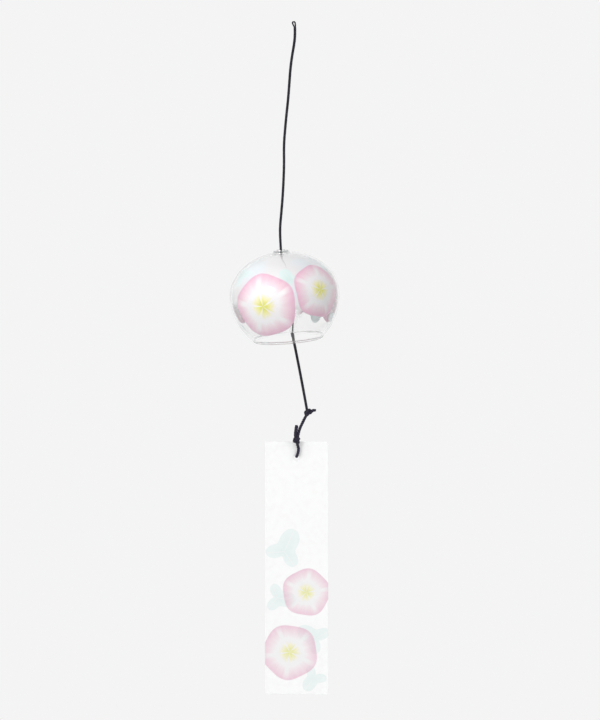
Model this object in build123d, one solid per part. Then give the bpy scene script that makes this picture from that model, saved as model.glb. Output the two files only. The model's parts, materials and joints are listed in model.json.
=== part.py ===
from build123d import *
import math
import os

# A glass wind bell: a blown glass bell on a doubled cord, with a glass tube for a clapper and a long
# strip of paper that catches the wind. All sizes are in millimetres and all angles in degrees. The
# origin is where the cord's eye rests on its nail. +Z is up, +X is right and -Y is the viewer's side.
# Every piece lies in or near the XZ plane, leaning there as it was found.

os.makedirs("parts", exist_ok=True)

# Clearances
turning_gap = 0.3
seat_gap = 0.25
strand_gap = 0.05
knot_bite = 0.7

# Cords
strand_diameter = 0.9
thick_cord_diameter = 1.6
bend_share = 0.45

# Eye at the top of the doubled cord
nail_diameter = 1.1
eye_foot_x = 0.8
eye_foot_drop = 2.85
eye_gap = 0.6

# Stopper bead in the top of the bell, at the end of the hanging cord
bead_x = -8.95
bead_z = -171.3
bead_diameter = 7.0
bead_bore_diameter = 2.2

# Glass bell
bell_lean = -4.8
bell_diameter = 80.0
bell_wall = 1.2
dome_height = 31.2
rim_depth = 32.4
mouth_diameter = 51.2
rim_bead_diameter = 1.7
hole_diameter = 5.5
hole_edge_radius = 0.4
collar_diameter = 11.0
collar_height = 1.5
collar_edge_radius = 0.6
collar_root_radius = 1.0

# Stop knot and the doubled line below it, which carries the clapper
stop_knot_diameter = 3.8
line_lean = -20.7
line_length = 27.6

# Clapper, a glass tube with a drawn-in lower end
tube_lean = 7.5
tube_length = 23.9
tube_diameter = 4.9
tube_wall = 0.7
tube_floor = 1.0
tube_mouth_diameter = 2.0
tube_shoulder_radius = 0.9
tube_inner_radius = 0.45
mouth_edge_radius = 0.25
bore_strand_offset = 1.1
bore_strand_proud = 0.6
bore_strand_gap = 0.5
clapper_knot_diameter = 2.3
clapper_knot_length = 4.4

# Doubled cord below the clapper
drop_lean = -10.75
drop_length = 58.9

# Joining knot, its tail and the thick cord that goes on to the paper
joining_knot_diameter = 5.0
tie_knot_diameter = 4.8
tie_knot_x = -7.9
tie_knot_z = -20.3

# Paper strip
paper_width = 46.0
paper_length = 186.0
paper_thickness = 0.45
paper_top_drop = 1.1
paper_hole_diameter = 4.6
paper_hole_inset = 12.3
paper_corner_radius = 0.4
loop_bend_radius = 1.2

# Route of the hanging cord, below its first point at the eye's foot: x, z and the turn of the pair of
# strands, which lie side by side at 0 and one behind the other at 90. The last point is on the bead.
hanging_route = [
    (1.0, -9.1, 0),
    (0.2, -16.4, 3),
    (-1.25, -24.5, 6),
    (-2.05, -34.1, 9),
    (-2.9, -45.8, 13),
    (-3.85, -56.8, 24),
    (-5.25, -67.8, 40),
    (-6.4, -78.1, 51),
    (-7.05, -89.8, 57),
    (-6.9, -103.1, 60),
    (-7.35, -116.3, 58),
    (-8.0, -128.0, 55),
    (-9.1, -139.8, 52),
    (-9.95, -149.5, 50),
    (-9.75, -158.6, 48),
]
hanging_end_turn = 46

# Route of a strand inside the clapper, from the middle of the tube's top: x and z. It lies against the
# left wall and ends in the tube's mouth, over the clapper knot.
bore_strand_route = [(-1.1, -8.4), (-0.75, -16.4)]

# Routes of the thick cord, from the centre of the joining knot: x and z
paper_cord_route = [(-0.72, -1.7), (-3.78, -7.6), (-6.0, -12.4), (-7.0, -17.4)]
joining_tail_route = [(1.2, -0.1), (3.3, 0.6), (5.5, 1.3)]

# Route of the tie knot's tail, from the centre of that knot: x and z
tie_tail_route = [(-0.6, 2.75), (-0.35, 6.5), (0.8, 10.4)]

# Route of the loop through the paper, from the centre of the tie knot: x, y and z. It goes down in front
# of the paper, and comes up behind it and over its top edge.
loop_front_route = [(0.5, 0.15, -2.65), (1.5, 0.7, -6.3), (1.0, 1.2, -9.3)]
loop_back_route = [(0.2, 4.6, -5.2), (0.2, 5.2, -1.9), (0.1, 5.0, 0.1), (0, 3.85, 1.15), (0, 2.45, 0.8)]


def up(lean):
    """The unit vector up an axis that leans to the right by lean degrees."""
    return Vector(math.sin(math.radians(lean)), 0, math.cos(math.radians(lean)))


def right(lean):
    """The unit vector square to that axis, to the right."""
    return Vector(math.cos(math.radians(lean)), 0, -math.sin(math.radians(lean)))


def leaning(place, lean):
    """The location at place whose Z axis leans to the right by lean degrees."""
    return Location(place, (0, lean, 0))


def corner_radii(points):
    """The radius at each inner point of a cord's route, as large as its two runs allow."""
    radii = []
    for before, corner, after in zip(points, points[1:], points[2:]):
        run_in = Vector(corner) - Vector(before)
        run_out = Vector(after) - Vector(corner)
        half_turn = math.radians(run_in.get_angle(run_out)) / 2
        radii.append(bend_share * min(run_in.length, run_out.length) / math.tan(half_turn))
    return radii


def swept(path, diameter):
    """A round tube along a path."""
    section = Plane(origin=path @ 0, z_dir=path % 0) * Circle(diameter / 2)
    return sweep(section, path=path)


def cord(name, points, diameter, radii=None):
    """A tube through the points of a route. Its radii and its volume are printed."""
    if len(points) == 2:
        path = Line(*points)
    else:
        if radii is None:
            radii = corner_radii(points)
        path = FilletPolyline(*points, radius=radii)
        print(name, "radii", [round(radius, 1) for radius in radii])
    tube = swept(path, diameter)
    plain_volume = path.length * math.pi * (diameter / 2) ** 2
    print(name, "length", round(path.length, 1), "volume share", round(tube.volume / plain_volume, 4))
    return tube


def cut_tail(name, points, diameter):
    """A cord's short free end, with its last point rounded over."""
    return cord(name, points, diameter) + Pos(points[-1]) * Sphere(diameter / 2)


def wound_knot(diameter, strand, leans):
    """A tight knot: a ball with a turn of the strand lying round it at each lean."""
    turn = Torus(diameter / 2 - strand / 2, strand / 2)
    knot = Sphere(diameter / 2 - strand / 3)
    for lean in leans:
        knot += Rot(lean, lean / 3, 0) * turn
    return knot


def tangent_point(centre, radius, outside, side):
    """Where the line from the point outside touches the circle in the XZ plane, on one side of it."""
    reach = Vector(outside) - centre
    half_angle = math.degrees(math.acos(radius / reach.length))
    return centre + reach.normalized().rotate(Axis.Y, side * half_angle) * radius


# Places, worked out down the cord from the eye
strand_pitch = strand_diameter + strand_gap
thin_radius = strand_diameter / 2
thick_radius = thick_cord_diameter / 2
bell_radius = bell_diameter / 2
mouth_radius = mouth_diameter / 2
bead_radius = bead_diameter / 2
bead_bore_radius = bead_bore_diameter / 2
stop_knot_radius = stop_knot_diameter / 2
joining_knot_radius = joining_knot_diameter / 2
tie_knot_radius = tie_knot_diameter / 2

bead_place = Vector(bead_x, 0, bead_z)
bell_up = up(bell_lean)
hanging_end = bead_place + bell_up * (bead_radius + turning_gap)

# The belly is round in section, upright at the widest level, and passes the mouth's edge.
belly_x = (bell_radius**2 - mouth_radius**2 - rim_depth**2) / (2 * (bell_radius - mouth_radius))
belly_radius = bell_radius - belly_x

bell_inner_height = dome_height - bell_wall
seat_reach = bead_radius + seat_gap + hole_edge_radius
seat_circle = hole_diameter / 2 + hole_edge_radius
bell_seat_height = bell_inner_height + hole_edge_radius - math.sqrt(seat_reach**2 - seat_circle**2)
bell_place = bead_place - bell_up * bell_seat_height

bead_mouth = math.sqrt(bead_radius**2 - bead_bore_radius**2)
stop_knot_drop = bead_mouth + math.sqrt((stop_knot_radius + seat_gap) ** 2 - bead_bore_radius**2)
stop_knot_place = bead_place - bell_up * stop_knot_drop

line_up = up(line_lean)
line_end = stop_knot_place - line_up * line_length

tube_up = up(tube_lean)
tube_right = right(tube_lean)
tube_top = line_end + tube_right * bore_strand_offset - tube_up * (bore_strand_proud + bore_strand_gap / 2)
tube_foot = tube_top - tube_up * tube_length

clapper_knot_radius = clapper_knot_diameter / 2
mouth_reach = clapper_knot_radius + seat_gap + mouth_edge_radius
mouth_edge_circle = tube_mouth_diameter / 2 + mouth_edge_radius
clapper_knot_drop = math.sqrt(mouth_reach**2 - mouth_edge_circle**2) - mouth_edge_radius
clapper_knot_place = tube_foot - tube_up * clapper_knot_drop

drop_up = up(drop_lean)
drop_right = right(drop_lean)
joining_knot_place = clapper_knot_place - drop_up * drop_length
tie_knot_place = joining_knot_place + Vector(tie_knot_x, 0, tie_knot_z)

paper_front = tie_knot_radius + turning_gap
paper_middle = paper_front + paper_thickness / 2
paper_top = tie_knot_place.Z - paper_top_drop
paper_hole_z = paper_top - paper_hole_inset
loop_pivot_z = paper_hole_z + paper_hole_diameter / 2 - turning_gap - thick_radius


def bell_profile(inset):
    """The right half of the bell's closed outline, drawn in by inset, as one face on the XZ plane."""
    quarter = Rectangle(bell_diameter, bell_diameter)
    dome = Ellipse(bell_radius - inset, dome_height - inset) & Pos(bell_radius, bell_radius) * quarter
    belly = Pos(belly_x, 0) * Circle(belly_radius - inset) & Pos(bell_radius, -bell_radius) * quarter
    return dome + belly


def dome_level(distance, inset):
    """The height of the dome at a distance from the bell's axis, on the surface drawn in by inset."""
    return (dome_height - inset) * math.sqrt(1 - (distance / (bell_radius - inset)) ** 2)


def near(face, x, y):
    """The corner of a flat face that lies nearest to x, y."""
    return face.vertices().sort_by_distance((x, y))[0]


def glass_bell():
    """The blown bell: its wall, the collar round its hole and the fire-polished rim."""
    hole_radius = hole_diameter / 2
    collar_radius = collar_diameter / 2
    collar_top = dome_height + collar_height
    rim_reach = math.sqrt((belly_radius - bell_wall / 2) ** 2 - rim_depth**2)
    below_rim = Pos(belly_x, 0) * Rot(0, 0, -math.degrees(math.atan2(rim_depth, rim_reach)))
    wall = bell_profile(0) - bell_profile(bell_wall)
    wall -= below_rim * Pos(0, -bell_diameter) * Rectangle(2 * bell_diameter, 2 * bell_diameter)
    collar_foot = dome_level(collar_radius, bell_wall / 2)
    collar = Rectangle(collar_radius, collar_top - collar_foot)
    wall += Pos(collar_radius / 2, (collar_top + collar_foot) / 2) * collar
    wall -= Pos(0, collar_top) * Rectangle(hole_diameter, 2 * collar_radius)
    corners = (
        (collar_radius, dome_level(collar_radius, 0), collar_root_radius),
        (collar_radius, collar_top, collar_edge_radius),
        (hole_radius, collar_top, collar_edge_radius),
        (hole_radius, dome_level(hole_radius, bell_wall), hole_edge_radius),
    )
    for x, y, corner_radius in corners:
        wall = fillet(near(wall, x, y), corner_radius)
    wall += Pos(belly_x + rim_reach, -rim_depth) * Circle(rim_bead_diameter / 2)
    return revolve(Plane.XZ * wall, Axis.Z)


def stopper_bead():
    """The round bead that carries the bell, with its bore."""
    return Sphere(bead_radius) - Cylinder(bead_bore_radius, 2 * bead_diameter)


def clapper_tube():
    """The glass tube, from its rounded top down to its drawn-in foot, hanging from its own origin."""
    radius = tube_diameter / 2
    bore_radius = radius - tube_wall
    foot_radius = tube_mouth_diameter / 2
    wall = Pos(radius / 2, -tube_length / 2) * Rectangle(radius, tube_length)
    wall -= Pos(bore_radius / 2, -(tube_length - tube_floor) / 2) * Rectangle(bore_radius, tube_length - tube_floor)
    wall -= Pos(foot_radius / 2, -tube_length) * Rectangle(foot_radius, tube_length)
    corners = (
        (radius, -tube_length, tube_shoulder_radius),
        (bore_radius, tube_floor - tube_length, tube_inner_radius),
        (foot_radius, -tube_length, mouth_edge_radius),
        (foot_radius, tube_floor - tube_length, mouth_edge_radius),
    )
    for x, y, corner_radius in corners:
        wall = fillet(near(wall, x, y), corner_radius)
    wall += Pos(radius - tube_wall / 2, 0) * Circle(tube_wall / 2)
    return revolve(Plane.XZ * wall, Axis.Z)


def hanging_eye():
    """The fold of the doubled cord, bent round its nail."""
    bend = nail_diameter / 2 + thin_radius
    centre = Vector(0, 0, -nail_diameter / 2)
    foot = Vector(eye_foot_x, 0, -eye_foot_drop)
    left_foot = foot - Vector(strand_pitch / 2, 0, 0)
    right_foot = foot + Vector(strand_pitch / 2, 0, 0)
    left_touch = tangent_point(centre, bend, left_foot, 1)
    right_touch = tangent_point(centre, bend, right_foot, -1)
    top = centre + Vector(0, 0, bend)
    left_leg = Line(left_foot, left_touch)
    right_leg = Line(right_touch, right_foot)
    return swept(Wire([left_leg, ThreePointArc(left_touch, top, right_touch), right_leg]), strand_diameter)


def hanging_strand(side):
    """One strand of the hanging cord, on the side -1 or 1 of the pair."""
    route = [(eye_foot_x, -(eye_foot_drop + eye_gap), 0)]
    route += hanging_route
    route += [(hanging_end.X, hanging_end.Z, hanging_end_turn)]
    reach = side * strand_pitch / 2
    points = []
    for x, z, turn in route:
        angle = math.radians(turn)
        points.append((x + reach * math.cos(angle), reach * math.sin(angle), z))
    return cord("hanging strand", points, strand_diameter)


def stop_knot():
    """The knot under the bead, with the pair of strands that goes up through the bead's bore."""
    knot = wound_knot(stop_knot_diameter, strand_diameter, (25, -35))
    stem = stop_knot_drop + bead_mouth
    for side in (-1, 1):
        knot += Pos(side * strand_pitch / 2, 0, stem / 2) * Cylinder(thin_radius, stem)
    return knot


def line_strand(side):
    """One strand between the stop knot and the clapper, in front for -1 and behind for 1."""
    depth = Vector(0, side * strand_pitch / 2, 0)
    top = stop_knot_place - line_up * (stop_knot_radius + turning_gap) + depth
    foot = line_end + line_up * (bore_strand_gap / 2) + depth
    return cord("line strand", [top, foot], strand_diameter)


def bore_strand(side):
    """One strand inside the clapper tube, in front for -1 and behind for 1."""
    knot_top = clapper_knot_radius - clapper_knot_drop
    foot = (0, knot_top + turning_gap - tube_length)
    route = [(-bore_strand_offset, bore_strand_proud)] + bore_strand_route + [foot]
    depth = side * strand_pitch / 2
    return cord("bore strand", [(x, depth, z) for x, z in route], strand_diameter)


def clapper_knot():
    """The slim knot under the clapper: a ball under the tube's mouth and two more turns below it."""
    turn = wound_knot(clapper_knot_diameter, strand_diameter, (20, -30))
    step = (clapper_knot_length - clapper_knot_diameter) / 2
    return turn + Pos(0, 0, -step) * Rot(0, 0, 90) * turn + Pos(0, 0, -2 * step) * turn


def drop_strand(side):
    """One strand of the doubled cord below the clapper, on the left for -1 and the right for 1."""
    shift = drop_right * (side * strand_pitch / 2)
    knot_foot = clapper_knot_length - clapper_knot_radius
    top = clapper_knot_place - drop_up * (knot_foot - knot_bite) + shift
    foot = joining_knot_place + drop_up * (joining_knot_radius + turning_gap) + shift
    return cord("drop strand", [top, foot], strand_diameter)


def from_knot(place, route):
    """A route in the XZ plane, counted from the centre of a knot."""
    return [place + Vector(x, 0, z) for x, z in route]


def paper_loop():
    """The thick cord from the tie knot down the paper's front, through its hole and up its back."""
    side_reach = paper_thickness / 2 + turning_gap + thick_radius
    middle = Vector(tie_knot_place.X, paper_middle, loop_pivot_z)
    bends = [middle - Vector(0, side_reach, 0), middle + Vector(0, side_reach, 0)]
    front = [tie_knot_place + Vector(*point) for point in loop_front_route]
    back = [tie_knot_place + Vector(*point) for point in loop_back_route]
    points = front + bends + back
    radii = corner_radii(points)
    first_bend = len(front) - 1
    radii[first_bend] = loop_bend_radius
    radii[first_bend + 1] = loop_bend_radius
    return cord("paper loop", points, thick_cord_diameter, radii)


def tanzaku():
    """The paper strip with its punched hole, hanging behind the tie knot."""
    face = Rectangle(paper_width, paper_length)
    face = fillet(face.vertices(), paper_corner_radius)
    face -= Pos(0, paper_length / 2 - paper_hole_inset) * Circle(paper_hole_diameter / 2)
    strip = extrude(Plane.XZ * face, paper_thickness / 2, both=True)
    return Pos(tie_knot_place.X, paper_middle, paper_top - paper_length / 2) * strip


nodes = {
    "hanging_eye": hanging_eye(),
    "hanging_strand_left": hanging_strand(-1),
    "hanging_strand_right": hanging_strand(1),
    "stopper_bead": leaning(bead_place, bell_lean) * stopper_bead(),
    "stop_knot": leaning(stop_knot_place, bell_lean) * stop_knot(),
    "glass_bell": leaning(bell_place, bell_lean) * glass_bell(),
    "line_strand_front": line_strand(-1),
    "line_strand_back": line_strand(1),
    "clapper_tube": leaning(tube_top, tube_lean) * clapper_tube(),
    "bore_strand_front": leaning(tube_top, tube_lean) * bore_strand(-1),
    "bore_strand_back": leaning(tube_top, tube_lean) * bore_strand(1),
    "clapper_knot": leaning(clapper_knot_place, drop_lean) * clapper_knot(),
    "drop_strand_left": drop_strand(-1),
    "drop_strand_right": drop_strand(1),
    "joining_knot": Pos(joining_knot_place) * wound_knot(joining_knot_diameter, thick_cord_diameter, (30, -45)),
    "joining_tail": cut_tail("joining tail", from_knot(joining_knot_place, joining_tail_route), thick_cord_diameter),
    "paper_cord": cord("paper cord", from_knot(joining_knot_place, paper_cord_route), thick_cord_diameter),
    "tie_tail": cut_tail("tie tail", from_knot(tie_knot_place, tie_tail_route), thick_cord_diameter),
    "tie_knot": Pos(tie_knot_place) * wound_knot(tie_knot_diameter, thick_cord_diameter, (40, -25)),
    "paper_loop": paper_loop(),
    "tanzaku": tanzaku(),
}

for node, shape in nodes.items():
    export_step(shape, f"parts/{node}.step")
    print(node, "solids", len(shape.solids()), "volume", round(shape.volume, 1), "valid", shape.is_valid)
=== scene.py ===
# %% [markdown]
# # A glass wind bell
# This part hangs from one thin cord, folded double. On the cord hang a blown glass bell, a glass tube
# that strikes it and a long strip of paper that catches the wind. The construction model gives every
# piece its place and size, in metres. +Z is up, +X is right and the viewer looks along +Y.

# %% Load the construction model
import json
from math import acos, atan2, cos, degrees, hypot, pi, radians, sin, sqrt, tau

import bmesh
import bpy
from mathutils import Matrix, Vector, noise


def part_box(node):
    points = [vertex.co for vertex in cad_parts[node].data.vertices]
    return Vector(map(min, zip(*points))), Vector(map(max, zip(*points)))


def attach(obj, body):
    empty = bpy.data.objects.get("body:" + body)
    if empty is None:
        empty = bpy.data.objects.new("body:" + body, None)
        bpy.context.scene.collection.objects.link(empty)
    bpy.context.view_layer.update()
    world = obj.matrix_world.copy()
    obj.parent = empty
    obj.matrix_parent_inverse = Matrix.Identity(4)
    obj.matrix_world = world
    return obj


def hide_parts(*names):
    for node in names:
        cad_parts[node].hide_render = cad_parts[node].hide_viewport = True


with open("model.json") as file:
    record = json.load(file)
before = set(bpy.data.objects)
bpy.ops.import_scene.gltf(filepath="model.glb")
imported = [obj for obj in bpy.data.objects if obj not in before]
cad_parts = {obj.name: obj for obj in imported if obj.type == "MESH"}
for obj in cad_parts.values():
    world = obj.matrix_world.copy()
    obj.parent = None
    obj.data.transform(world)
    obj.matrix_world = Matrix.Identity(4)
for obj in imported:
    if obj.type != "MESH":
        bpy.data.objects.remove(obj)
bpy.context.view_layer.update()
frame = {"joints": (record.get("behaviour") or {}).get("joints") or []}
scene = bpy.context.scene

# %% [markdown]
# The knots, the bead and the bends of the cord are at the model's joints. Places taken from the joints keep
# every piece on the one that carries it.

# %% Places down the cord
joints = {joint["name"]: joint for joint in frame["joints"]}


def joint_place(name):
    """Where a joint of the model turns."""
    return Vector(joints[name]["pos_m"])


def leaning(place, lean):
    """The frame at a place whose Z axis leans to the right by lean degrees."""
    return Matrix.Translation(place) @ Matrix.Rotation(radians(lean), 4, "Y")


def up_from(lean):
    """The unit vector up an axis that leans to the right by lean degrees."""
    return Vector((sin(radians(lean)), 0, cos(radians(lean))))


cord_top = joint_place("cord_swing")
bead_place = joint_place("bell_rock")
stop_knot_place = joint_place("clapper_swing")
line_end = joint_place("tube_swing")
clapper_knot_place = joint_place("drop_swing")
joining_knot_place = joint_place("link_swing")
tie_knot_place = joint_place("card_turn")
bell_up = Vector(joints["bell_turn"]["axis"])
print("bead at", bead_place.to_tuple(4))

# %% [markdown]
# ## Camera
# The photograph is taken from far off, a little above the bell, which shows the mouth as a flat oval. The
# long lens keeps the cord and the strip from leaning apart in perspective.

# %% Camera
camera_aim = Vector((0.00453, 0, -0.2469))
camera_distance = 12.0
camera_rise = radians(7.5)


def new_object(name, data):
    """An object with that data, put in the scene."""
    made = bpy.data.objects.new(name, data)
    scene.collection.objects.link(made)
    return made


camera_data = bpy.data.cameras.new("camera")
camera_data.lens = 825.2
camera_data.clip_end = 200
camera = new_object("camera", camera_data)
camera.location = camera_aim + camera_distance * Vector((0, -cos(camera_rise), sin(camera_rise)))
camera.rotation_euler = (camera_aim - camera.location).to_track_quat("-Z", "Y").to_euler()
scene.camera = camera
print("camera at", camera.location.to_tuple(3))

# %% [markdown]
# ## Materials from nodes
# Every finish is worked out by nodes. Small helpers add a node, do a sum, draw a noise or start a material.

# %% Node helpers


def add_node(kind, inputs, tree=None, **settings):
    """Adds a shader node and fills its inputs with numbers or nodes' results, whose tree it joins."""
    linked = {name: value for name, value in inputs.items() if isinstance(value, bpy.types.NodeSocket)}
    tree = tree or next(value.id_data for value in linked.values())
    made = tree.nodes.new("ShaderNode" + kind)
    for name, value in settings.items():
        setattr(made, name, value)
    for name, value in inputs.items():
        if name in linked:
            tree.links.new(value, made.inputs[name])
        else:
            made.inputs[name].default_value = value
    return made


def calculate(operation, *values):
    """The result of one Math node."""
    return add_node("Math", dict(enumerate(values)), operation=operation).outputs[0]


def times(first, second):
    """The product of two values, of which one at least is a node's result."""
    return calculate("MULTIPLY", first, second)


def calculate_vector(operation, *values):
    """The result of one Vector Math node: a vector for a difference, a number for the rest."""
    made = add_node("VectorMath", dict(enumerate(values)), operation=operation)
    return made.outputs["Vector" if operation == "SUBTRACT" else "Value"]


print("node helpers ready")

# %% Noise, steps, colours and relief


def cloudy(place, scale, detail, roughness=0.5):
    """A noise from 0 to 1 at a place."""
    inputs = {"Vector": place, "Scale": scale, "Detail": detail, "Roughness": roughness}
    return add_node("TexNoise", inputs).outputs["Fac"]


def soft_step(value, low, high):
    """0 up to low, 1 from high on, and a smooth rise between them."""
    limits = {"Value": value, "From Min": low, "From Max": high}
    return add_node("MapRange", limits, interpolation_type="SMOOTHSTEP").outputs["Result"]


def between(value, low, high):
    """A number from low to high, for a value from 0 to 1."""
    limits = {"Value": value, "To Min": low, "To Max": high}
    return add_node("MapRange", limits).outputs["Result"]


def blend_colours(share, first, second):
    """The first colour where share is 0, and the second where it is 1."""
    return add_node("Mix", {0: share, 6: first, 7: second}, data_type="RGBA").outputs[2]


def colour_ramp(value, stops):
    """A colour for each value, by stops of position and linear colour."""
    ramp = add_node("ValToRGB", {"Fac": value})
    elements = ramp.color_ramp.elements
    elements[0].position, elements[0].color = stops[0]
    elements[1].position, elements[1].color = stops[-1]
    for position, colour in stops[1:-1]:
        elements.new(position).color = colour
    return ramp.outputs["Color"]


def bump(height, strength, distance):
    """A surface normal that makes a height show as relief."""
    inputs = {"Height": height, "Strength": strength, "Distance": distance}
    return add_node("Bump", inputs).outputs["Normal"]


print("texture helpers ready")

# %% Material helpers


def new_material(name, **constants):
    """A material with one Principled shader, whose even values are set on its own sockets."""
    material = bpy.data.materials.new(name)
    material.use_nodes = True
    shader = material.node_tree.nodes["Principled BSDF"]
    for socket, value in constants.items():
        shader.inputs[socket.replace("_", " ")].default_value = value
    return material, material.node_tree, shader


def connect(node, **results):
    """Links nodes' results to the sockets of a shader or of the output."""
    for socket, result in results.items():
        node.id_data.links.new(result, node.inputs[socket.replace("_", " ")])


print("material helpers ready")

# %% [markdown]
# ## Cord
# Both cords are twisted from three plies. A cord's route is the model's own, and a NURBS curve of order 3
# turns it into one smooth line.

# %% Smooth lines
route_resolution = 12


def mesh_of(curve):
    """The mesh that a curve draws. The curve itself isn't kept."""
    drawn = bpy.data.objects.new(curve.name, curve)
    mesh = bpy.data.meshes.new_from_object(drawn)
    bpy.data.objects.remove(drawn)
    bpy.data.curves.remove(curve)
    return mesh


def smooth_line(points):
    """The points of one smooth curve along a route, as Blender draws its NURBS spline."""
    if len(points) == 2:
        return [Vector(point) for point in points]
    curve = bpy.data.curves.new("route", "CURVE")
    curve.dimensions = "3D"
    curve.resolution_u = route_resolution
    spline = curve.splines.new("NURBS")
    spline.points.add(len(points) - 1)
    for point, place in zip(spline.points, points):
        point.co = (*place, 1)
    spline.order_u = 3
    spline.use_endpoint_u = True
    mesh = mesh_of(curve)
    line = [vertex.co.copy() for vertex in mesh.vertices]
    bpy.data.meshes.remove(mesh)
    return line


def line_length(line):
    """The length of a line through its points."""
    return sum((after - before).length for before, after in zip(line, line[1:]))


def cord_line(route, step):
    """One smooth line along a route, with its points an even step apart."""
    line = smooth_line(route)
    count = max(3, round(line_length(line) / step))
    spacing = line_length(line) / count
    points = [line[0]]
    travelled = 0
    for before, after in zip(line, line[1:]):
        run = (after - before).length
        while len(points) < count and len(points) * spacing <= travelled + run:
            points.append(before.lerp(after, (len(points) * spacing - travelled) / run))
        travelled += run
    return points + [line[-1]]


print("lines are drawn in", route_resolution, "steps")

# %% [markdown]
# The plies wind round that line, so that their twist stays even however the cord bends. They are pressed into
# each other, as soft fibre is, and stand a little proud of the model's round tube.

# %% Plies round a line
plies_in_cord = 3
ply_radius_share = 0.6
ply_offset_share = 0.5


def with_sides(line, across=None):
    """Each point of a line with two unit vectors square to it, which never twist round it."""
    befores = [line[0]] + line[:-1]
    afters = line[1:] + [line[-1]]
    sided = []
    for place, before, after in zip(line, befores, afters):
        ahead = (after - before).normalized()
        across = across or ahead.orthogonal()
        across = (across - ahead * across.dot(ahead)).normalized()
        sided.append((place, across, ahead.cross(across)))
    return sided


def beside(line, shift, across):
    """A line that runs beside another, shifted from it towards across."""
    return [place + side * shift for place, side, _ in with_sides(line, across)]


def lay_plies(line, diameter, lay_length):
    """The middle lines of the three plies of a cord that follows a line."""
    offset = ply_offset_share * diameter / 2
    step = line_length(line) / (len(line) - 1)
    plies = []
    for ply in range(plies_in_cord):
        points = []
        for number, (place, across, over) in enumerate(with_sides(line)):
            turn = tau * (ply / plies_in_cord + number * step / lay_length)
            points.append(place + offset * (across * cos(turn) + over * sin(turn)))
        plies.append(points)
    return plies


print("a cord has", plies_in_cord, "plies")

# %% [markdown]
# A curve with a bevel depth makes each ply a round tube, with a UV map that runs along it. The map is scaled
# to metres, so that the fibres are equally fine on every cord. A cut end is a little rounded by heat.

# %% Tubes round the plies
cut_end_radii = (0.45, 0.8, 0.95)
tube_detail = 1


def rope_mesh(name, plies, diameter, rounded=(True, True)):
    """One mesh of a cord's plies as tubes. rounded says which of its two ends are cut ends."""
    radius = ply_radius_share * diameter / 2
    curve = bpy.data.curves.new(name, "CURVE")
    curve.dimensions = "3D"
    curve.bevel_depth = radius
    curve.bevel_resolution = tube_detail
    curve.use_fill_caps = True
    for ply in plies:
        spline = curve.splines.new("POLY")
        spline.points.add(len(ply) - 1)
        for point, place in zip(spline.points, ply):
            point.co = (*place, 1)
        for number, share in enumerate(cut_end_radii):
            if rounded[0]:
                spline.points[number].radius = share
            if rounded[1]:
                spline.points[-1 - number].radius = share
    mesh = mesh_of(curve)
    for loop in mesh.uv_layers.active.data:
        loop.uv.x *= line_length(plies[0])
        loop.uv.y *= tau * radius
    mesh.name = name
    return mesh


def add_piece(name, mesh, material, body, slot, *nodes):
    """Puts a mesh in the scene, on its body, in place of the nodes that it stands for."""
    mesh.polygons.foreach_set("use_smooth", [True] * len(mesh.polygons))
    mesh.materials.append(material)
    piece = new_object(name, mesh)
    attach(piece, body)
    if nodes:
        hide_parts(*nodes)
    print(name, "has", len(mesh.polygons), "faces")
    return piece


print("a cut end narrows to", cut_end_radii[0])

# %% [markdown]
# The cord is dyed a navy near black. Fine fibres run along each ply, as a noise that is stretched along its
# UV map, and loose fibre ends catch a little light, which the sheen gives.

# %% Cord finishes
thin_navy = (0.012, 0.012, 0.019, 1)
thin_navy_worn = (0.028, 0.028, 0.04, 1)
thick_navy = (0.014, 0.012, 0.027, 1)
thick_navy_worn = (0.034, 0.029, 0.06, 1)


def cord_finish(name, dark, worn):
    """Twisted fibre: stretched noise for its colour, its roughness and its fine grooves."""
    fibre = {"Sheen_Weight": 0.12, "Sheen_Roughness": 0.4, "Specular_IOR_Level": 0.3}
    material, tree, shader = new_material(name, **fibre)
    lengthwise = add_node("TexCoord", {}, tree).outputs["UV"]
    fibres = add_node("Mapping", {"Vector": lengthwise, "Scale": (420, 9000, 1)}).outputs["Vector"]
    grain = cloudy(fibres, 1, 4)
    wear = soft_step(times(grain, cloudy(lengthwise, 160, 2)), 0.16, 0.42)
    connect(shader, Base_Color=blend_colours(wear, dark, worn), Roughness=between(grain, 0.5, 0.8))
    connect(shader, Normal=bump(grain, 0.5, 0.00006))
    return material


thin_cord_finish = cord_finish("thin_navy_cord", thin_navy, thin_navy_worn)
thick_cord_finish = cord_finish("thick_navy_cord", thick_navy, thick_navy_worn)
print("finishes", thin_cord_finish.name, "and", thick_cord_finish.name)

# %% [markdown]
# Each of the two kinds of cord has its diameter, the length in which a ply goes round once, and the step
# between the points of its line. Both are fuller than the model's, because so thin a dark line looks thinner
# in a picture than it is.

# %% Two kinds of cord
full_strand = 0.0011
strand_lay = 0.003
strand_step = 0.00025
thick_diameter = 0.0021
thick_lay = 0.0052
thick_step = 0.00035
cord_kinds = {
    "thin_cord": (full_strand, strand_lay, thin_cord_finish),
    "thick_cord": (thick_diameter, thick_lay, thick_cord_finish),
}


def add_cord(name, lines, body, node, kind="thin_cord", fullness=1):
    """Puts a cord of one kind in the scene, along these lines, in place of a node."""
    diameter, lay_length, finish = cord_kinds[kind]
    diameter *= fullness
    plies = []
    for line in lines:
        plies += lay_plies(line, diameter, lay_length)
    return add_piece(name, rope_mesh(name, plies, diameter), finish, body, kind, node)


def route_from(place, steps):
    """The points of a route, given in millimetres from a place."""
    return [place + Vector(step) / 1000 for step in steps]


print("thin cord", full_strand, "m and thick cord", thick_diameter, "m across")

# %% [markdown]
# ## The doubled cord that carries the bell
# One cord is folded in two. Its two strands lie side by side under the eye, and lower down the pair is turned
# a little. The route is the model's line to within a millimetre: x and z in millimetres, and the turn of the
# pair in degrees.

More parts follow.
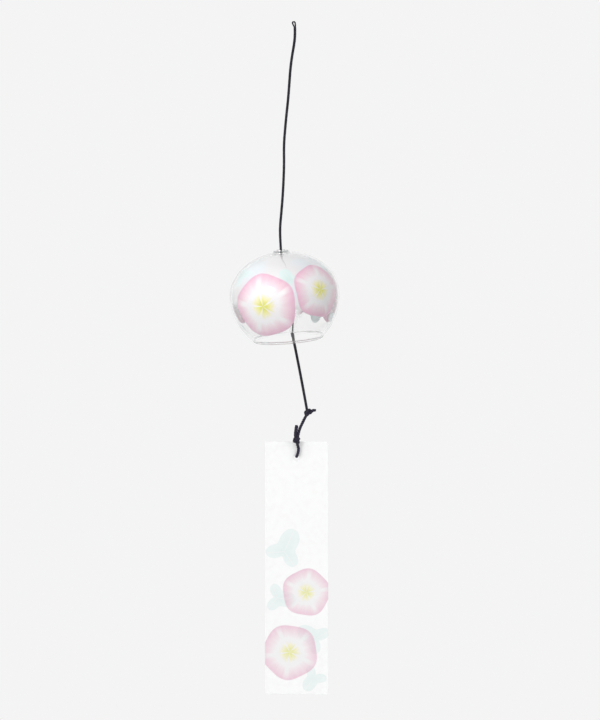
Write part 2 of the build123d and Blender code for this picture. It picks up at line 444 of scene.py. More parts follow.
# %% Hanging cord
strand_pitch = 0.00088
seam_overlap = 0.00012

hanging_route = [(1, -9.1, 0), (0.2, -16.4, 3), (-1.25, -24.5, 6), (-2.5, -34.1, 9), (-3.3, -45.8, 12)]
hanging_route += [(-4.15, -56.8, 15), (-5.35, -67.8, 19), (-6.3, -78.1, 23), (-7.2, -89.8, 27)]
hanging_route += [(-7, -103.1, 29), (-7.45, -116.3, 27), (-8.1, -128, 24), (-9.1, -139.8, 23)]
hanging_route += [(-10, -149.5, 26), (-9.85, -158.6, 34)]
bead_radius = 0.0035
hanging_end = bead_place + bell_up * bead_radius
hanging_start = cord_top + Vector((0, 0, seam_overlap))
turn_at_bead = 46
hanging_centres = [(x / 1000, z / 1000, turn) for x, z, turn in hanging_route]
hanging_centres.insert(0, (hanging_start.x, hanging_start.z, 0))
hanging_centres.append((hanging_end.x, hanging_end.z, turn_at_bead))

for side, hand in ((-1, "left"), (1, "right")):
    reach = side * strand_pitch / 2
    route = []
    for x, z, turn in hanging_centres:
        angle = radians(turn)
        route.append((x + reach * cos(angle), reach * sin(angle), z))
    strand_line = cord_line(route, strand_step)
    strand = add_cord(f"hanging_cord_{hand}", [strand_line], "suspension", f"hanging_strand_{hand}")

# %% [markdown]
# The fold of the cord is the eye that goes over a nail, and the cord's tightest bend.

# %% Eye
eye_top = 0.00045
eye_route = [
    cord_top + Vector((-strand_pitch / 2, 0, -seam_overlap)),
    (-0.0009, 0, -0.0010),
    (-0.0009, 0, eye_top),
    (0.0009, 0, eye_top),
    (0.0011, 0, -0.0010),
    cord_top + Vector((strand_pitch / 2, 0, -seam_overlap)),
]
add_cord("eye_fold", [cord_line(eye_route, strand_step)], "hanger", "hanging_eye")

# %% [markdown]
# ## Knots
# A knot is one more smooth line, with the same plies round it. The overhand knot is a trefoil, the closed
# curve with three lobes: cut open at one lobe, its two ends are where the cord goes in and comes out.

# %% Overhand knots
knot_points = 26


def trefoil(size, depth, opening):
    """Points round an overhand knot that faces the viewer, open at its foot by that angle each way."""
    points = []
    for number in range(knot_points):
        angle = pi + opening + 2 * (pi - opening) * number / (knot_points - 1)
        x = size * (sin(angle) + 2 * sin(2 * angle))
        z = size * (cos(angle) - 2 * cos(2 * angle))
        points.append(Vector((x, depth * sin(3 * angle), z)))
    return points


def put(points, place, *turns):
    """The points turned by each of the turns, (degrees, axis), and moved to their place."""
    turned = Matrix.Identity(4)
    for turn, axis in turns:
        turned = Matrix.Rotation(radians(turn), 4, axis) @ turned
    return [place + turned @ point for point in points]


print("an overhand knot goes through", knot_points, "points")

# %% [markdown]
# The bell rests on a bead, and the bead on a knot in the doubled cord. The knot opens upwards, where its two
# strands come down through the bead's bore, and its own end stops inside its turns.

# %% Stop knot
stem_rise = 0.0022
stem_top = bead_place + bell_up * (bead_radius - seam_overlap)
stop_turns = trefoil(size=0.00047, depth=0.00095, opening=0.5)
knot_middle = put(stop_turns, stop_knot_place, (180, "Y"), (25, "Z"))
stop_route = [stem_top, bead_place, stop_knot_place + bell_up * stem_rise, *knot_middle[1:-3]]
stop_line = cord_line(stop_route, strand_step)
stop_strands = [beside(stop_line, side * strand_pitch / 2, Vector((1, 0, 0))) for side in (-1, 1)]
add_cord("stop_knot_turns", stop_strands, "swivel", "stop_knot")

# %% [markdown]
# Below the stop knot the two strands run one behind the other to the clapper, and on through its bore.

# %% Line to the clapper and through its bore
line_start = 0.0012
tube_lean = 7.5
bore_shift = 0.0011
bore_rise = 0.00085
line_up = (stop_knot_place - line_end).normalized()
line_top = stop_knot_place - line_up * line_start
tube_up = up_from(tube_lean)
tube_right = Vector((tube_up.z, 0, -tube_up.x))
tube_top = line_end + tube_right * bore_shift - tube_up * bore_rise
tube_length = 0.0239
bore_route = [(-bore_shift, 0.0007), (-0.0011, -0.0084), (-0.00075, -0.0164), (0, -tube_length)]

for side, hand in ((-1, "front"), (1, "back")):
    depth = Vector((0, side * strand_pitch / 2, 0))
    free_line = cord_line([line_top + depth, line_end - line_up * seam_overlap + depth], strand_step)
    add_cord(f"clapper_line_{hand}", [free_line], "clapper_line", f"line_strand_{hand}")
    route = [tube_top + tube_right * x + tube_up * z + depth for x, z in bore_route]
    bore = cord_line(route, strand_step)
    add_cord(f"clapper_bore_{hand}", [bore], "clapper", f"bore_strand_{hand}")

# %% [markdown]
# The clapper is carried by a slim barrel knot: the strand is wound round the doubled cord in close turns. The
# cord goes on below it, nearly straight, because the strip's weight pulls it.

# %% Clapper knot
barrel_radius = 0.0007
barrel_room = 1.08
barrel_turns = 3.4
points_per_turn = 10
drop_up = (clapper_knot_place - joining_knot_place).normalized()
drop_right = Vector((drop_up.z, 0, -drop_up.x))

barrel_points = []
for number in range(round(barrel_turns * points_per_turn) + 1):
    angle = tau * number / points_per_turn
    fall = strand_pitch * number / points_per_turn
    around = drop_right * cos(angle) + Vector((0, 1, 0)) * sin(angle)
    middle = clapper_knot_place + drop_up * (barrel_radius - fall)
    barrel_points.append(middle + around * barrel_radius * barrel_room)
barrel_line = cord_line(barrel_points, strand_step)
clapper_knot = add_cord("clapper_knot_turns", [barrel_line], "drop", "clapper_knot")

# %% Lower cord
drop_start = 0.0008
drop_stop = 0.0009
drop_sway = 0.0004
drop_top = clapper_knot_place - drop_up * drop_start
drop_foot = joining_knot_place + drop_up * drop_stop
drop_middle = (drop_top + drop_foot) / 2
for side, hand in ((-1, "left"), (1, "right")):
    shift = drop_right * (side * strand_pitch / 2)
    bow = drop_right * drop_sway
    route = [drop_top + shift, drop_middle + shift + bow, drop_foot + shift]
    drop_line = cord_line(route, strand_step)
    strand = add_cord(f"lower_cord_{hand}", [drop_line], "drop", f"drop_strand_{hand}")

# %% [markdown]
# ## Thick cord
# A thicker cord takes over at the joining knot. Its tail points to the right, its long end curves down to
# the strip. Tail, knot and long end are one line with one twist, cut into three pieces where the model has
# its own.

# %% Joining knot, its tail and the paper cord
knot_reach = 0.0026
joining_shift = Vector((0.0006, 0, 0.0001))
joining_tail_route = [(6.1, 0, 1.6), (4.8, -0.1, 2.1), (3.4, -0.6, 1.4)]
paper_cord_route = [(-0.9, 0.3, -1.9), (-2.2, 0, -4.4), (-3.78, 0, -7.6)]
paper_cord_route += [(-6, 0, -12.4), (-7, 0, -17.4), (-7.7, 0, -19.6)]
joining_turns = trefoil(size=0.00072, depth=0.0011, opening=0.62)
joining_route = route_from(joining_knot_place, joining_tail_route)
joining_route += put(joining_turns, joining_knot_place + joining_shift, (-38, "Y"))
joining_route += route_from(joining_knot_place, paper_cord_route)
joining_line = cord_line(joining_route, thick_step)
joining_plies = lay_plies(joining_line, thick_diameter, thick_lay)


def first_inside(line):
    """The number of a line's first point that is inside the joining knot."""
    distances = [(point - joining_knot_place).length for point in line]
    return next(number for number, away in enumerate(distances) if away < knot_reach)


tail_end = first_inside(joining_line)
knot_end = len(joining_line) - 1 - first_inside(joining_line[::-1])
cuts = (
    ("joining_tail_end", 0, tail_end, (True, False), "joining_tail"),
    ("joining_knot_turns", tail_end, knot_end, (False, False), "joining_knot"),
    ("paper_cord_twist", knot_end, len(joining_line) - 1, (False, True), "paper_cord"),
)
for name, first, last, rounded, node in cuts:
    plies = [ply[first : last + 1] for ply in joining_plies]
    mesh = rope_mesh(name, plies, thick_diameter, rounded)
    add_piece(name, mesh, thick_cord_finish, "link", "thick_cord", node)

# %% [markdown]
# At the strip's top edge the cord is knotted round itself. The tail, whose plies have opened a little,
# stands up beside it, and the two lobes of the knot lie left and right.

# %% Tie knot and its tail
tail_fullness = 1.2
tie_tail_route = [(-0.5, 0, 0.2), (-0.8, 0, 2.75), (-0.7, 0, 6.5), (0.1, 0, 11.2)]
tie_through_route = [(0.4, 0, 2.2), (0.1, 0, 0), (0.3, 0, -2.2)]
tie_tail_line = cord_line(route_from(tie_knot_place, tie_tail_route), thick_step)
add_cord("tie_tail_end", [tie_tail_line], "link", "tie_tail", "thick_cord", tail_fullness)

tie_turns = put(trefoil(size=0.00068, depth=0.0009, opening=0.02), tie_knot_place, (100, "Y"), (12, "X"))
tie_through = route_from(tie_knot_place, tie_through_route)
tie_lines = [cord_line(points, thick_step) for points in (tie_turns, tie_through)]
add_cord("tie_knot_turns", tie_lines, "twist", "tie_knot", "thick_cord")

# %% [markdown]
# The loop goes down from the knot through the hole and comes up behind the strip.

# %% Loop through the paper
loop_route = [(0.2, 0, -1.2), (0.5, 0.15, -2.65), (1.5, 0.7, -6.3), (1, 1.2, -9.3), (0, 1.6, -12.2)]
loop_route += [(0, 4.35, -12.2), (0.2, 4.6, -5.2), (0.2, 5.2, -1.9), (0.1, 5, 0.1), (0, 3.85, 1.15)]
loop_route += [(0, 2.45, 0.8), (0, 1, 0.4)]
loop_line = cord_line(route_from(tie_knot_place, loop_route), thick_step)
add_cord("paper_loop_twist", [loop_line], "sling", "paper_loop", "thick_cord")

# %% [markdown]
# ## Blown glass
# The bell is blown without a mould and cut open at the mouth, and the flame that rounds its rim leaves a
# slightly thicker edge. Its wall is one closed outline, and a spin round the axis makes the glass from it.
# A slow noise then pushes both sides of the wall together, as the breath and the turning of the pipe do.

# %% Outlines and spinning


def spin_outline(outline, closed, steps):
    """A mesh in progress: an outline of radius and height, spun once round the Z axis."""
    shape = bmesh.new()
    corners = [shape.verts.new((radius, 0, height)) for radius, height in outline]
    pairs = list(zip(corners, corners[1:]))
    if closed:
        pairs.append((corners[-1], corners[0]))
    edges = [shape.edges.new(pair) for pair in pairs]
    bmesh.ops.spin(shape, geom=corners + edges, axis=(0, 0, 1), angle=tau, steps=steps, use_merge=True)
    bmesh.ops.remove_doubles(shape, verts=shape.verts, dist=1e-7)
    bmesh.ops.recalc_face_normals(shape, faces=shape.faces)
    return shape


def arc(centre, radius, start, end, steps):
    """Points along an arc in the plane of an outline, by angles in degrees."""
    points = []
    for number in range(steps + 1):
        angle = radians(start + (end - start) * number / steps)
        points.append((centre[0] + radius * cos(angle), centre[1] + radius * sin(angle)))
    return points


def finished_mesh(name, shape, place):
    """The mesh of a shape, moved to its place."""
    bmesh.ops.transform(shape, matrix=place, verts=shape.verts)
    mesh = bpy.data.meshes.new(name)
    shape.to_mesh(mesh)
    shape.free()
    return mesh


print("outline helpers ready")

# %% [markdown]
# The outline follows the model's named sizes: a half ellipse for the dome, an arc for the belly, a bead of
# glass at the rim, and a small collar round the hole.

# %% Sizes of the bell
bell_radius = 0.040
bell_wall = 0.0012
dome_height = 0.0312
rim_depth = 0.0324
mouth_radius = 0.0256
rim_bead_radius = 0.00085
hole_radius = 0.00275
collar_radius = 0.0055
collar_top = dome_height + 0.0015
hole_edge = 0.0004
collar_edge = 0.0006
collar_root = 0.001

belly_x = (bell_radius**2 - mouth_radius**2 - rim_depth**2) / (2 * (bell_radius - mouth_radius))
belly_radius = bell_radius - belly_x
rim_reach = sqrt((belly_radius - bell_wall / 2) ** 2 - rim_depth**2)
rim_angle = degrees(atan2(rim_depth, rim_reach))
rim_open = degrees(acos(bell_wall / 2 / rim_bead_radius))
wall_end = rim_angle - degrees(rim_bead_radius * sin(radians(rim_open)) / belly_radius)
print("belly radius", round(belly_radius, 4), "and wall down to", round(wall_end, 1), "degrees")

# %% Bell outline
dome_steps = 34
belly_steps = 20


def dome_arc(inset, start, end, steps):
    """Points on the dome, drawn in by inset, by its angles from the widest level in degrees."""
    width = bell_radius - inset
    height = dome_height - inset
    return [(width * x, height * z) for x, z in arc((0, 0), 1, start, end, steps)]


def dome_angle(radius, inset):
    """The angle on the dome, drawn in by inset, at which it is that far from the axis."""
    return degrees(acos(radius / (bell_radius - inset)))


hole_angle = dome_angle(hole_radius + hole_edge, bell_wall)
hole_floor = dome_arc(bell_wall, hole_angle, 0, 1)[0][1]
root_radius = collar_radius + collar_root
root_angle = dome_angle(root_radius, 0)
root_floor = dome_arc(0, root_angle, 0, 1)[0][1]
rim_start = rim_open - rim_angle
rim_stop = -180 - rim_open - rim_angle

bell_outline = arc((hole_radius + hole_edge, hole_floor + hole_edge), hole_edge, 270, 180, 5)
bell_outline += arc((hole_radius + collar_edge, collar_top - collar_edge), collar_edge, 180, 90, 6)
bell_outline += arc((collar_radius - collar_edge, collar_top - collar_edge), collar_edge, 90, 0, 6)
bell_outline += arc((root_radius, root_floor + collar_root), collar_root, 180, 262, 7)
bell_outline += dome_arc(0, root_angle, 0, dome_steps)[1:]
bell_outline += arc((belly_x, 0), belly_radius, 0, -wall_end, belly_steps)[1:]
bell_outline += arc((belly_x + rim_reach, -rim_depth), rim_bead_radius, rim_start, rim_stop, 16)
bell_outline += arc((belly_x, 0), belly_radius - bell_wall, -wall_end, 0, belly_steps)
bell_outline += dome_arc(bell_wall, 0, hole_angle, dome_steps)[1:-1]
print("bell outline has", len(bell_outline), "points")

# %% Spin and blow the bell
bell_sides = 160
bead_above_widest = 0.0277
bell_place = bead_place - bell_up * bead_above_widest
bell_lean = degrees(atan2(bell_up.x, bell_up.z))
bell_frame = leaning(bell_place, bell_lean)
breath_scale = 28
breath_height = 0.00014
breath_start = Vector((7, 3, 5))
seat_radius = 0.006
seat_fade = 0.01


def blow(shape):
    """Pushes a bell's wall in and out by a slow noise, which fades away at the bead's seat."""
    for vertex in shape.verts:
        outward = vertex.co.normalized()
        from_axis = hypot(vertex.co.x, vertex.co.y)
        share = min(1, max(0, (from_axis - seat_radius) / seat_fade))
        push = noise.noise(outward * breath_scale * bell_radius + breath_start)
        vertex.co += outward * (push * breath_height * share)


bell_shape = spin_outline(bell_outline, True, bell_sides)
blow(bell_shape)
print("blown bell has", len(bell_shape.verts), "corners")

# %% [markdown]
# Clear glass shows by its edges. Where the eye looks along the wall it looks through ten times as much
# glass, and the iron in it turns that to a grey green, which a volume that absorbs light gives. The ripple
# of blown glass is a very faint bump. The glass casts no shadow of its own, so that light comes to the
# painted side. Light in the rim or the collar is passed along inside the wall by more reflections than
# Blender follows, so a little glow keeps those edges grey, where they would else turn black.

# %% Glass finish
trapped_after = 3.5
trapped_glow = 0.3


def glass_finish(name, tint, density, ripple):
    """Clear glass with a faint ripple, tinted by how far light goes through it."""
    white = (1, 1, 1, 1)
    clear = {"Base_Color": white, "Roughness": 0.0, "IOR": 1.45, "Transmission_Weight": 1.0}
    material, tree, shader = new_material(name, Emission_Color=white, **clear)
    ripples = cloudy(add_node("TexCoord", {}, tree).outputs["Object"], 70, 2)
    reflections = add_node("LightPath", {}, tree).outputs["Glossy Depth"]
    glow = times(calculate("GREATER_THAN", reflections, trapped_after), trapped_glow)
    connect(shader, Normal=bump(ripples, ripple, 0.0004), Emission_Strength=glow)
    inside = add_node("VolumeAbsorption", {"Color": tint, "Density": density}, tree)
    connect(tree.nodes["Material Output"], Volume=inside.outputs["Volume"])
    return material


bell_glass = glass_finish("bell_glass", (0.30, 0.46, 0.45, 1), 8, 0.25)
tube_glass = glass_finish("tube_glass", (0.35, 0.5, 0.48, 1), 12, 0.15)
bead_glass = glass_finish("bead_glass", (0.3, 0.55, 0.55, 1), 30, 0.1)



def add_glass(name, shape, place, *rest):
    """Puts a glass piece in the scene, which casts no shadow of its own."""
    add_piece(name, finished_mesh(name, shape, place), *rest).visible_shadow = False


add_glass("blown_bell", bell_shape, bell_frame, bell_glass, "bell", "bell_glass", "glass_bell")

# %% [markdown]
# ## Stopper bead and clapper
# The bead is a ball of glass wound on a wire, so it has a bore with rounded edges. The clapper is a length
# of glass tube with a melted top edge and a foot drawn in until only the knot's cord passes it.

# %% Bead
small_sides = 64
bead_bore_radius = 0.0011
bore_edge = 0.0003
bore_middle = bead_bore_radius + bore_edge
bore_half = sqrt((bead_radius - bore_edge) ** 2 - bore_middle**2)
bead_turn = degrees(atan2(bore_half, bore_middle))
bead_outline = arc((0, 0), bead_radius, bead_turn, -bead_turn, 40)
bead_outline += arc((bore_middle, -bore_half), bore_edge, -bead_turn, -180, 5)[1:]
bead_outline += arc((bore_middle, bore_half), bore_edge, 180, bead_turn, 5)[:-1]
bead_shape = spin_outline(bead_outline, True, small_sides)
bead_frame = leaning(bead_place, bell_lean)
add_glass("glass_bead", bead_shape, bead_frame, bead_glass, "stopper", "bead", "stopper_bead")

# %% Clapper tube
tube_radius = 0.00245
tube_wall = 0.0007
tube_floor = 0.001
tube_mouth_radius = 0.001
shoulder = 0.0012
inner_edge = 0.0005
mouth_edge = 0.00025
tube_bore = tube_radius - tube_wall
foot = -tube_length
tube_outline = arc((tube_radius - tube_wall / 2, 0), tube_wall / 2, 180, 0, 10)
tube_outline += arc((tube_radius - shoulder, foot + shoulder), shoulder, 0, -84, 9)
tube_outline += arc((tube_mouth_radius + mouth_edge, foot + mouth_edge), mouth_edge, -90, -180, 4)
tube_outline += arc((tube_mouth_radius + mouth_edge, foot + tube_floor - mouth_edge), mouth_edge, 180, 90, 4)
tube_outline += arc((tube_bore - inner_edge, foot + tube_floor + inner_edge), inner_edge, -80, 0, 5)
tube_shape = spin_outline(tube_outline, True, small_sides)
tube_frame = leaning(tube_top, tube_lean)
add_glass("clapper_glass", tube_shape, tube_frame, tube_glass, "clapper", "tube_glass", "clapper_tube")

# %% [markdown]
# ## Painting
# Wind bells of this kind are painted on the inside, in thin washes that let light through. The design here
# is the plain summer one of morning glories: round blossoms with a lemon throat and five pale rays, and
# leaves with three lobes. A motif's colour follows from how far a point is from its centre and at what angle.
# The same motifs serve the glass and the paper.

# %% Paints
lemon = (0.72, 0.72, 0.05, 1)
pale_lemon = (0.84, 0.80, 0.36, 1)
petal_white = (0.86, 0.84, 0.85, 1)
pale_pink = (0.84, 0.64, 0.71, 1)
rose_pink = (0.77, 0.41, 0.56, 1)
mint = (0.68, 0.84, 0.82, 1)
deep_mint = (0.55, 0.77, 0.74, 1)
sky_tint = (0.76, 0.81, 0.85, 1)


def motif_plane(place, centre, across, upwards):
    """How far points are from a motif's centre, and how far across and up it."""
    offset = calculate_vector("SUBTRACT", place, centre)
    sides = [calculate_vector("DOT_PRODUCT", offset, direction) for direction in (across, upwards)]
    return calculate_vector("LENGTH", offset), *sides


def lay_paint(painted, colour, cover):
    """What is painted so far, with one more colour over it where its cover is 1."""
    under, covered = painted
    return blend_colours(cover, under, colour), calculate("MAXIMUM", covered, cover)


print("rose pink is", rose_pink[:3])

# %% Motifs


def paint_blossom(place, painted, centre, across, upwards, radius, strength):
    """A round blossom with a frilled edge, seen from the front."""
    distance, right, high = motif_plane(place, centre, across, upwards)
    angle = calculate("ARCTAN2", high, right)
    fives = calculate("COSINE", times(angle, 5))
    reach = calculate("DIVIDE", distance, calculate("MULTIPLY_ADD", fives, 0.035 * radius, 0.965 * radius))
    ring = {"X": calculate("COSINE", angle), "Y": calculate("SINE", angle), "Z": times(reach, 0.25)}
    streaks = cloudy(add_node("CombineXYZ", ring).outputs[0], 7, 3)
    wash = calculate("MULTIPLY_ADD", calculate("SUBTRACT", streaks, 0.5), 0.22, reach)
    stops = [(0, lemon), (0.1, lemon), (0.24, pale_lemon), (0.4, petal_white)]
    stops += [(0.52, petal_white), (0.74, pale_pink), (0.98, rose_pink)]
    rays = times(soft_step(fives, 0.72, 1.0), soft_step(reach, 1.05, 0.6))
    petal = blend_colours(rays, colour_ramp(wash, stops), petal_white)
    return lay_paint(painted, petal, times(soft_step(reach, 1.0, 0.975), strength))


def paint_leaf(place, painted, centre, across, upwards, radius, strength):
    """A leaf with three lobes and a vein down each, whose tip points upwards."""
    distance, right, high = motif_plane(place, centre, across, upwards)
    angle = calculate("ARCTAN2", right, high)
    lobes = times(calculate("COSINE", times(angle, 3)), 0.22 * radius)
    tip = calculate("MULTIPLY_ADD", calculate("COSINE", angle), 0.16 * radius, 0.58 * radius)
    reach = calculate("DIVIDE", distance, calculate("ADD", lobes, tip))
    side = calculate("ABSOLUTE", calculate("SINE", times(angle, 1.5)))
    veins = soft_step(times(side, distance), 0.035 * radius, 0.012 * radius)
    colour = colour_ramp(reach, ((0, deep_mint), (0.7, mint), (1, mint)))
    colour = blend_colours(times(veins, 0.7), colour, petal_white)
    return lay_paint(painted, colour, times(soft_step(reach, 1.0, 0.96), strength))


def paint_all(place, painted, paint, spots, strength):
    """One motif at each spot: its centre, the ways across and up, its turn in degrees and its radius."""
    for centre, across, upwards, turn, radius in spots:
        turned = Matrix.Rotation(radians(turn), 3, across.cross(upwards))
        painted = paint(place, painted, centre, turned @ across, turned @ upwards, radius, strength)
    return painted


print("blossoms and leaves ready")

# %% [markdown]
# The coat is a thin skin just inside the wall, blown by the same noise, so that it follows the glass. A place
# on it is an angle round the axis, from the viewer's side to the right, and a height above the widest level.

# %% Painted coat inside the bell
coat_inset = bell_wall + 0.00003
coat_top_radius = 0.0068
coat_foot_angle = -43
coat_sides = 128


def coat_radius(height):
    """How far the painted coat is from the bell's axis at a height."""
    if height > 0:
        return (bell_radius - coat_inset) * sqrt(1 - (height / (dome_height - coat_inset)) ** 2)
    return belly_x + sqrt((belly_radius - coat_inset) ** 2 - height**2)


def on_bell(around, height):
    """A place on the coat, with the directions across and up the glass there."""
    angle = radians(around)
    small = 1e-5
    outward = Vector((sin(angle), -cos(angle), 0))
    across = Vector((cos(angle), sin(angle), 0))
    place = outward * coat_radius(height) + Vector((0, 0, height))
    above = outward * coat_radius(height + small) + Vector((0, 0, height + small))
    turned = bell_frame.to_3x3()
    return bell_frame @ place, turned @ across, turned @ (above - place).normalized()


coat_outline = dome_arc(coat_inset, dome_angle(coat_top_radius, coat_inset), 0, 30)
coat_outline += arc((belly_x, 0), belly_radius - coat_inset, 0, coat_foot_angle, 18)[1:]
coat_shape = spin_outline(coat_outline, False, coat_sides)
blow(coat_shape)
coat_mesh = finished_mesh("coat", coat_shape, bell_frame)
print("coat has", len(coat_mesh.vertices), "corners")

# %% [markdown]
# Under the motifs lies a milky wash, which ends in a wavy edge above the rim, so that the clear glass shows
# below it. The motifs go all the way round, because the bell turns.

# %% Paint on the coat
ground_white = (0.80, 0.79, 0.795, 1)
ground_foot = -0.001
ground_full = 0.009
ground_strength = 0.88
bell_blossoms = ((-24, -3, 25), (43, 5, 21), (112, -3, 23), (180, 2, 25), (249, 0, 21))
bell_leaves = [(8, 14, 12, 20), (-64, 17, 12, 60), (72, -17, 12, 200), (80, 17, 11, -40)]
bell_leaves += [(145, -16, 13, 150), (214, -17, 13, 190), (214, 17, 11, 20), (285, -17, 12, 120)]
leaf_spots = [(*on_bell(around, z / 1000), turn, size / 1000) for around, z, size, turn in bell_leaves]
blossom_spots = [(*on_bell(around, z / 1000), around * 1.7, size / 1000) for around, z, size in bell_blossoms]

coat_material, coat_tree, coat_shader = new_material("painted_coat", Roughness=0.4, Specular_IOR_Level=0.3)
coat_place = add_node("TexCoord", {}, coat_tree).outputs["Object"]
ground = blend_colours(soft_step(cloudy(coat_place, 30, 2), 0.42, 0.62), ground_white, sky_tint)
height = calculate_vector("DOT_PRODUCT", calculate_vector("SUBTRACT", coat_place, bell_place), bell_up)
wavy = calculate("MULTIPLY_ADD", cloudy(coat_place, 55, 2), 0.02, height)
wash = times(soft_step(wavy, ground_foot, ground_full), ground_strength)
painted = paint_all(coat_place, (ground, wash), paint_leaf, leaf_spots, strength=0.8)
painted = paint_all(coat_place, painted, paint_blossom, blossom_spots, strength=0.93)
connect(coat_shader, Base_Color=painted[0], Alpha=painted[1])
add_piece("painted_coat", coat_mesh, coat_material, "bell", "bell_glass")

# %% [markdown]
# ## Paper strip
# The strip is thin white card: a flat grid with a square opening, whose edge is extruded and drawn in to a
# round hole. It gets its thickness while flat, and then a slight curl, most at the free lower corner.

# %% Strip
low_corner, high_corner = [Vector(corner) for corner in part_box("tanzaku")]
paper_size = high_corner - low_corner
paper_middle = (low_corner + high_corner) / 2
paper_thickness = paper_size.y
hole_drop = 0.0123
paper_hole_radius = 0.0023
cell = 0.001
hole_cells = 4

strip = bmesh.new()
columns = round(paper_size.x / cell)
rows = round(paper_size.z / cell)
bmesh.ops.create_grid(strip, x_segments=columns, y_segments=rows, size=0.5)
bmesh.ops.scale(strip, vec=(paper_size.x, paper_size.z, 1), verts=strip.verts)
hole_centre = Vector((0, paper_size.z / 2 - hole_drop, 0))
taken_out = []
for face in strip.faces:
    away = face.calc_center_median() - hole_centre
    if max(abs(away.x), abs(away.y)) < hole_cells * cell:
        taken_out.append(face)
bmesh.ops.delete(strip, geom=taken_out, context="FACES")
square = []
for edge in strip.edges:
    middle = (edge.verts[0].co + edge.verts[1].co) / 2 - hole_centre
    if edge.is_boundary and middle.length < 2 * hole_cells * cell:
        square.append(edge)
drawn_in = bmesh.ops.extrude_edge_only(strip, edges=square)
ring = [item for item in drawn_in["geom"] if isinstance(item, bmesh.types.BMVert)]
for vertex in ring:
    vertex.co = hole_centre + (vertex.co - hole_centre).normalized() * paper_hole_radius
bmesh.ops.recalc_face_normals(strip, faces=strip.faces)
print("hole has", len(ring), "sides")

# %% [markdown]
# The punch leaves the hole's edge a little rounded and the guillotine the strip's edge crisp, so both get a
# very narrow bevel.

# %% Thickness and edges
edge_bevel = 0.00008
nearly_square = 0.1
same_level = 1e-7
bmesh.ops.solidify(strip, geom=strip.faces[:], thickness=paper_thickness)
bmesh.ops.recalc_face_normals(strip, faces=strip.faces)
middle_level = sum(vertex.co.z for vertex in strip.verts) / len(strip.verts)
for vertex in strip.verts:
    vertex.co.z -= middle_level
rims = []
for edge in strip.edges:
    normals = [face.normal for face in edge.link_faces]
    if len(normals) == 2 and abs(normals[0].dot(normals[1])) < nearly_square:
        if abs(edge.verts[0].co.z - edge.verts[1].co.z) < same_level:
            rims.append(edge)
print("bevelled edges", len(rims))
bmesh.ops.bevel(strip, geom=rims, offset=edge_bevel, affect="EDGES", segments=2, profile=0.5, material=-1)

# %% Curl
curl_height = 0.0026
curl_start = 0.1
curl_length = 0.6
back_curl_share = 0.35
upright = Matrix.Translation(paper_middle) @ Matrix.Rotation(radians(90), 4, "X")
bmesh.ops.transform(strip, matrix=upright, verts=strip.verts)
for vertex in strip.verts:
    away = vertex.co - paper_middle
    low = max(0, -away.z / paper_size.z + curl_start) / curl_length
    aside = away.x / paper_size.x + 0.5
    vertex.co.y -= curl_height * low**2 * aside**2
    vertex.co.y += curl_height * back_curl_share * low**2 * (1 - aside) ** 2
print("strip's nearest point", round(min(vertex.co.y for vertex in strip.verts), 4))

# %% [markdown]
# The card has a fine felt-like surface. Only its front is printed. The back and the cut edges are bare, so
# they are a material of their own.

# %% Paper finishes
paper_white = (0.975, 0.98, 0.98, 1)
paper_shade = (0.95, 0.952, 0.95, 1)


def paper_finish(name):
    """Smooth white card: faint fibres in its colour and its surface."""
    material, tree, shader = new_material(name, Specular_IOR_Level=0.35)
    place = add_node("TexCoord", {}, tree).outputs["Object"]
    fibres = cloudy(place, 1500, 5, 0.65)
    felt = cloudy(place, 260, 2)
    mottle = soft_step(times(fibres, felt), 0.3, 0.12)
    colour = blend_colours(mottle, paper_white, paper_shade)
    connect(shader, Base_Color=colour, Roughness=between(felt, 0.55, 0.75))
    connect(shader, Normal=bump(fibres, 0.25, 0.00005))
    return material, shader, place, colour


bare_paper = paper_finish("bare_paper")[0]
print("finish", bare_paper.name)

# %% Print on the front
card_leaves = ((-9, 12, 19, -25), (-14, -22, 15, -100), (14, -52, 16, 60), (13, -80, 13, -215))
card_blossoms = ((7, -18, 18, -63), (-5, -62, 21, 45))
nearly_flat = 0.9


def on_card(motifs):
    """The spots of motifs on the card, given as x, z and radius in millimetres and a turn."""
    spots = []
    for x, z, size, turn in motifs:
        centre = paper_middle + Vector((x, 0, z)) / 1000
        spots.append((centre, Vector((1, 0, 0)), Vector((0, 0, 1)), turn, size / 1000))
    return spots


printed_paper, print_shader, print_place, bare_colour = paper_finish("printed_paper")
printed = paint_all(print_place, (bare_colour, 0.0), paint_leaf, on_card(card_leaves), strength=0.42)
printed = paint_all(print_place, printed, paint_blossom, on_card(card_blossoms), strength=0.62)
connect(print_shader, Base_Color=printed[0])

strip_mesh = bpy.data.meshes.new("strip")
strip.normal_update()
for face in strip.faces:
    face.material_index = 1 if face.normal.y < -nearly_flat else 0
strip.to_mesh(strip_mesh)
strip.free()
add_piece("paper_strip", strip_mesh, bare_paper, "card", "paper", "tanzaku")
strip_mesh.materials.append(printed_paper)
for polygon in strip_mesh.polygons:
    polygon.use_smooth = abs(polygon.normal.y) > nearly_flat

# %% [markdown]
# ## Studio
# A pale floor, a pale world and three large soft lamps, the strongest from the upper left as in the
# photograph. The camera, mirrors and glass see the plain pale background, and only the rest of the light
# comes from the dimmer world, so that white paper doesn't burn out. The floor can't be seen from below, so
# that it never hides the bell.

# %% World
background_level = 0.905
world_level = 0.64


def seen_directly(tree):
    """1 for a ray from the camera, off a mirror or through glass, and 0 for the rest."""
    paths = add_node("LightPath", {}, tree).outputs
    mirrored = calculate("MAXIMUM", paths["Is Glossy Ray"], paths["Is Transmission Ray"])
    return calculate("MAXIMUM", paths["Is Camera Ray"], mirrored)


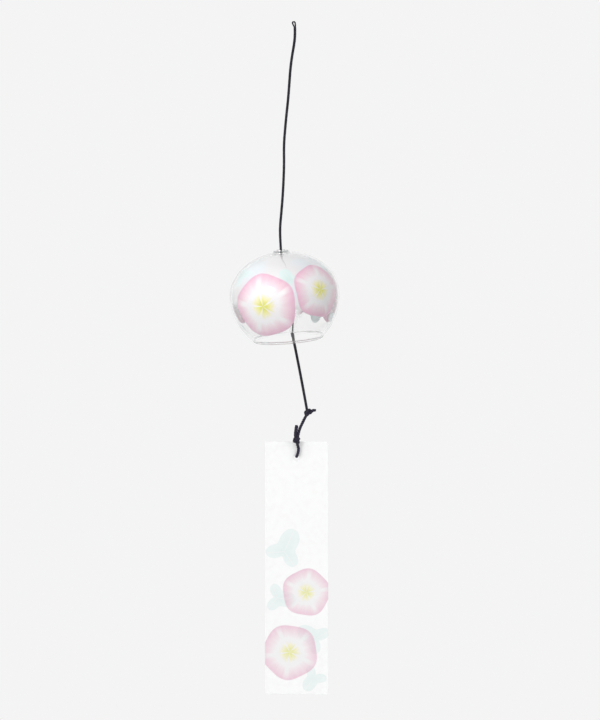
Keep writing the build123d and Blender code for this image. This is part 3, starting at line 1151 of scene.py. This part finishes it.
world = bpy.data.worlds.new("studio")
world.use_nodes = True
scene.world = world
sky = world.node_tree.nodes["Background"]
sky.inputs["Color"].default_value = (1, 1, 1, 1)
level = calculate("MULTIPLY_ADD", seen_directly(world.node_tree), background_level - world_level, world_level)
connect(sky, Strength=level)
print("world at", world_level, "and background at", background_level)

# %% Floor
floor_level = -0.62
floor_size = 120
near_floor = 0.15
far_floor = 0.5
floor_lift = 0.15
floor_shape = bmesh.new()
bmesh.ops.create_grid(floor_shape, x_segments=4, y_segments=4, size=floor_size / 2)
floor_mesh = finished_mesh("floor", floor_shape, Matrix.Translation((0, 0, floor_level)))
floor = new_object("floor", floor_mesh)
matt = {"Base_Color": (0.88, 0.88, 0.88, 1), "Roughness": 0.9, "Specular_IOR_Level": 0.0}
floor_material, floor_tree, floor_shader = new_material("floor", **matt)
floor_mesh.materials.append(floor_material)
floor_place = add_node("TexCoord", {}, floor_tree).outputs["Object"]
away = calculate_vector("DISTANCE", floor_place, (0, 0, floor_level))
direct = seen_directly(floor_tree)
distant = times(soft_step(away, near_floor, far_floor), direct)
lifted = add_node("Emission", {"Strength": times(direct, floor_lift)})
near = add_node("AddShader", {0: floor_shader.outputs[0], 1: lifted.outputs[0]})
glow = add_node("Emission", {"Strength": background_level}, floor_tree)
mixed = add_node("MixShader", {0: distant, 1: near.outputs[0], 2: glow.outputs[0]})
underside = add_node("NewGeometry", {}, floor_tree).outputs["Backfacing"]
unseen = add_node("BsdfTransparent", {}, floor_tree)
one_sided = add_node("MixShader", {0: underside, 1: mixed.outputs[0], 2: unseen.outputs[0]})
connect(floor_tree.nodes["Material Output"], Surface=one_sided.outputs[0])
print("floor at", floor_level)

# %% Lamps


def soft_lamp(name, place, size, watts, mirrored=True):
    """A round soft lamp that faces the bell. mirrored says whether glass shows it."""
    lamp = bpy.data.lights.new(name, "AREA")
    lamp.shape = "DISK"
    lamp.size = size
    lamp.energy = watts
    holder = new_object(name, lamp)
    holder.location = place
    holder.rotation_euler = (camera_aim - Vector(place)).to_track_quat("-Z", "Y").to_euler()
    holder.visible_glossy = mirrored
    holder.visible_transmission = mirrored
    print(name, "gives", watts, "W")


soft_lamp("key_lamp", (-1.3, -1.7, 1.0), size=0.9, watts=19)
soft_lamp("fill_lamp", (1.7, -1.5, 0.2), size=1.2, watts=7, mirrored=False)
soft_lamp("back_lamp", (0.4, 2.2, 0.9), size=1.4, watts=12, mirrored=False)
scene.view_settings.view_transform = "Standard"
